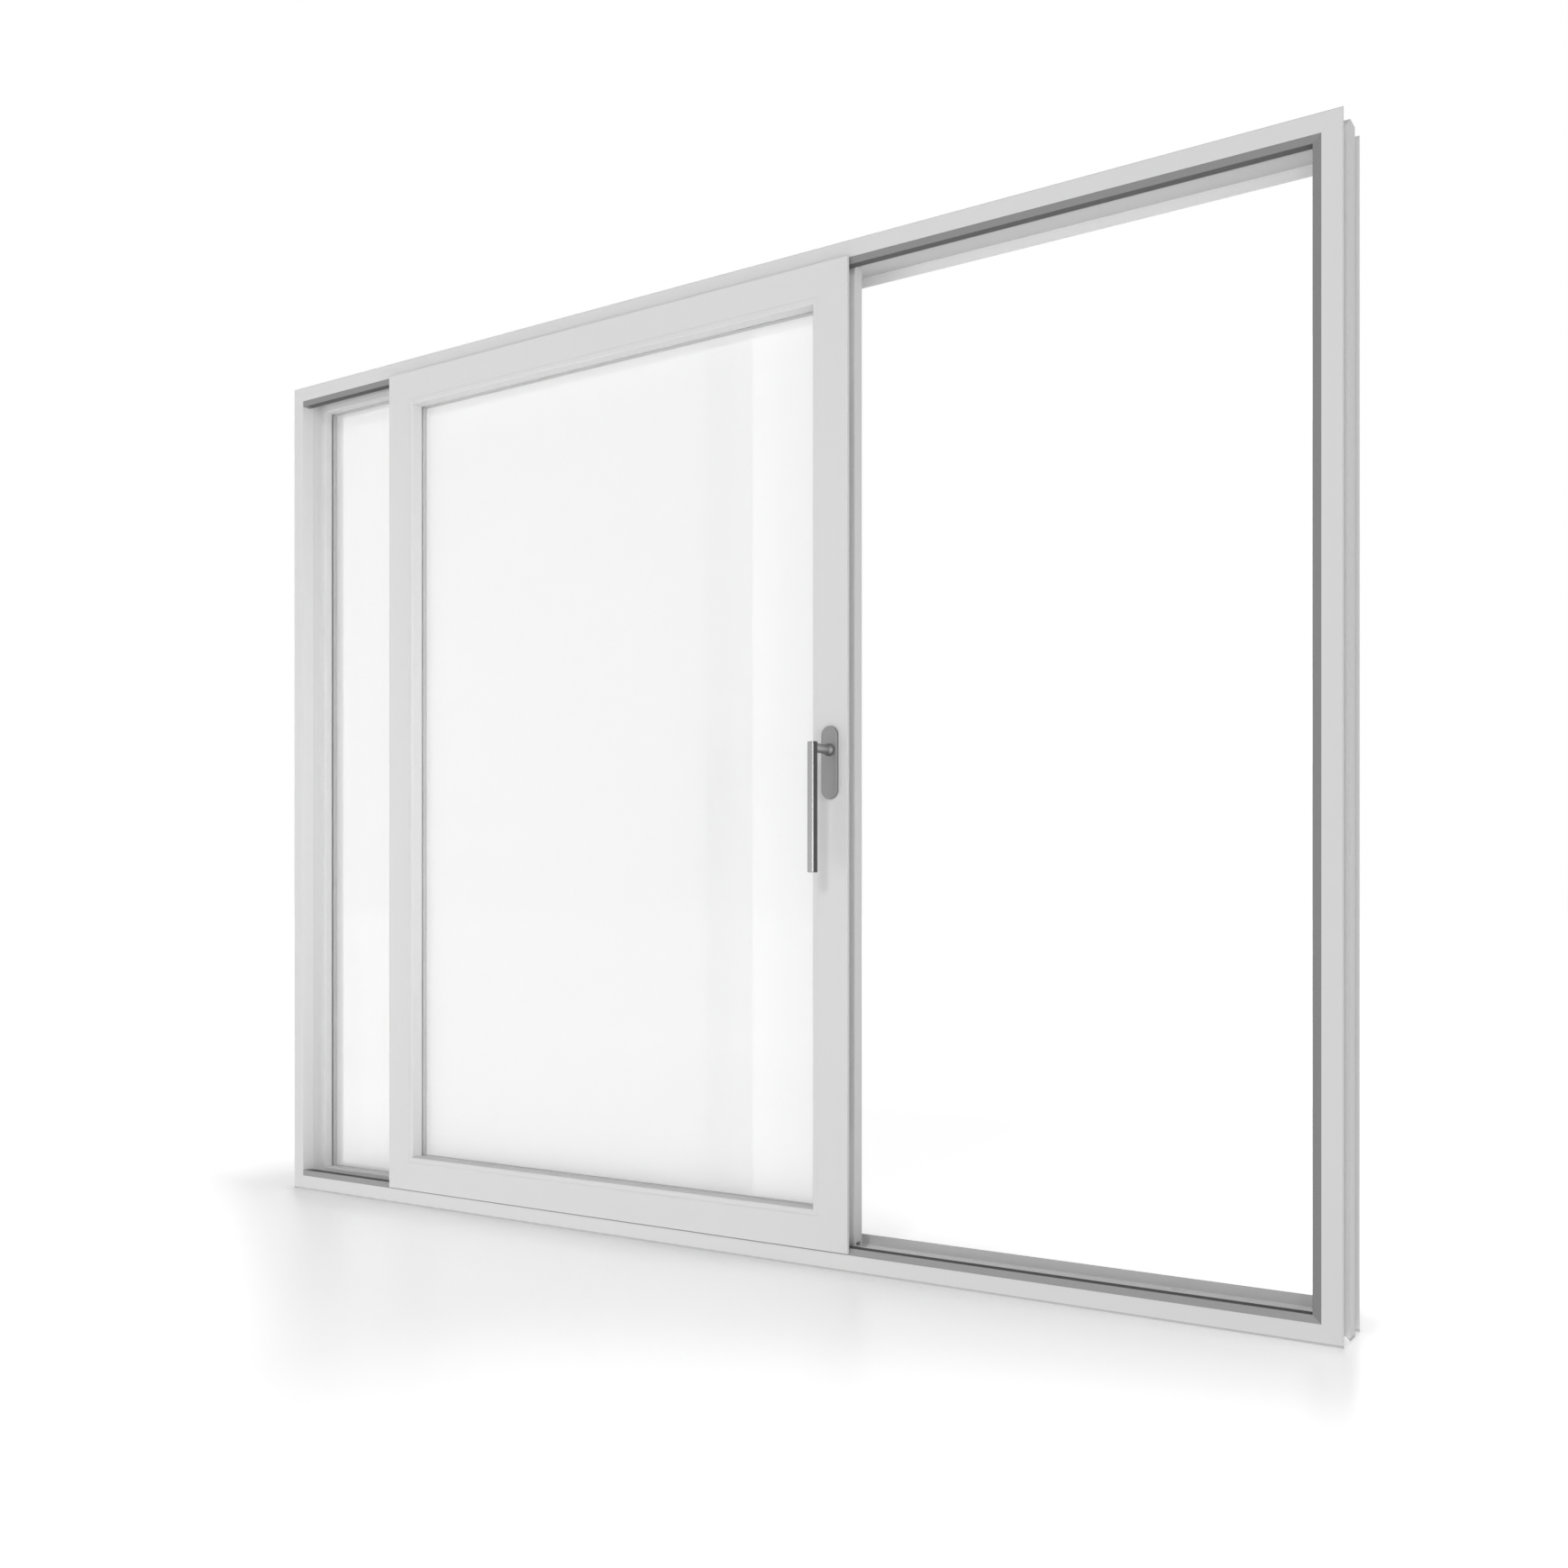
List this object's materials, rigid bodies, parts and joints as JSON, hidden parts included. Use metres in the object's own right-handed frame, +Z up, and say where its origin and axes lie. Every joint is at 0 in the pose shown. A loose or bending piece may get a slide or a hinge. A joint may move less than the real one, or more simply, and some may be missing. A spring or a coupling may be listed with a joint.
{
  "type": "lift-and-slide patio door",
  "caption": "Aluminium patio door with a fixed light and a glazed sash that slides along the room side on roller carriages and is lowered by a long bar handle.",
  "frame": {"origin": "middle of the sill's underside, at mid depth, on the flat pad that the frame stands on", "axes": "+X to the right as seen from the room, +Y to the outside, +Z up; the room is on the -Y side"},
  "size_m": [2.785, 0.2275, 2.2],
  "materials": {
    "powder_coat": "matt pale grey powder coat on aluminium",
    "grey_insert": "mid grey rigid plastic",
    "glass": "clear float glass",
    "spacer": "mill aluminium",
    "gasket": "pale grey rubber",
    "brush_seal": "dark grey brush pile",
    "thermal_break": "pale grey glass-filled nylon",
    "nylon": "black nylon",
    "stainless_steel": "brushed stainless steel",
    "zinc_casting": "zinc die casting",
    "handle_plate": "satin stainless steel",
    "handle_core": "dark grey satin coat",
    "brushed_handle": "brushed stainless steel"
  },
  "bodies": {
    "frame": {"fixed_bead_bottom": "powder_coat", "fixed_bead_left": "powder_coat", "fixed_bead_right": "powder_coat", "fixed_bead_top": "powder_coat", "fixed_gaskets": "gasket", "fixed_inner_pane": "glass", "fixed_meeting_stile": "powder_coat", "fixed_outer_pane": "glass", "fixed_spacer": "spacer", "head_inner_profile": "powder_coat", "head_outer_profile": "powder_coat", "head_track_insert": "grey_insert", "left_jamb_inner_profile": "powder_coat", "left_jamb_outer_profile": "powder_coat", "lock_jamb_insert": "grey_insert", "lock_keeps": "stainless_steel", "right_jamb_inner_profile": "powder_coat", "right_jamb_outer_profile": "powder_coat", "running_rail": "stainless_steel", "sill_inner_profile": "powder_coat", "sill_outer_profile": "powder_coat", "sill_track_insert": "grey_insert", "thermal_breaks": "thermal_break", "threshold_strip": "grey_insert", "track_seals": "brush_seal"},
    "carriages": {"carriage_housings": "zinc_casting", "carriage_rollers": "stainless_steel"},
    "sash": {"handle_rosette": "handle_plate", "lift_pins": "stainless_steel", "lock_faceplate": "stainless_steel", "sash_bead_bottom": "powder_coat", "sash_bead_left": "powder_coat", "sash_bead_right": "powder_coat", "sash_bead_top": "powder_coat", "sash_bottom_rail": "powder_coat", "sash_gaskets": "gasket", "sash_inner_pane": "glass", "sash_interlock": "powder_coat", "sash_lock_stile": "powder_coat", "sash_meeting_stile": "powder_coat", "sash_outer_pane": "glass", "sash_spacer": "spacer", "sash_top_rail": "powder_coat", "top_guides": "nylon"},
    "handle": {"handle_neck": "brushed_handle", "handle_bar": "handle_core", "handle_bar_cover": "brushed_handle"}
  },
  "joints": [
    {"name": "sash_slide", "type": "slide", "parent": "frame", "child": "carriages", "axis": [1, 0, 0], "range_m": [-0.329, 0.969]},
    {"name": "sash_lift", "type": "slide", "parent": "carriages", "child": "sash", "axis": [0, 0, 1], "range_m": [-0.005, 0]},
    {"name": "handle_turn", "type": "hinge", "parent": "sash", "child": "handle", "pos_m": [0.3425, -0.086, 1.114], "axis": [0, 1, 0], "range_deg": [0, 180]}
  ],
  "couplings": [
    {"joint": "handle_turn", "follows": "sash_lift", "rad_per_m": -628}
  ]
}
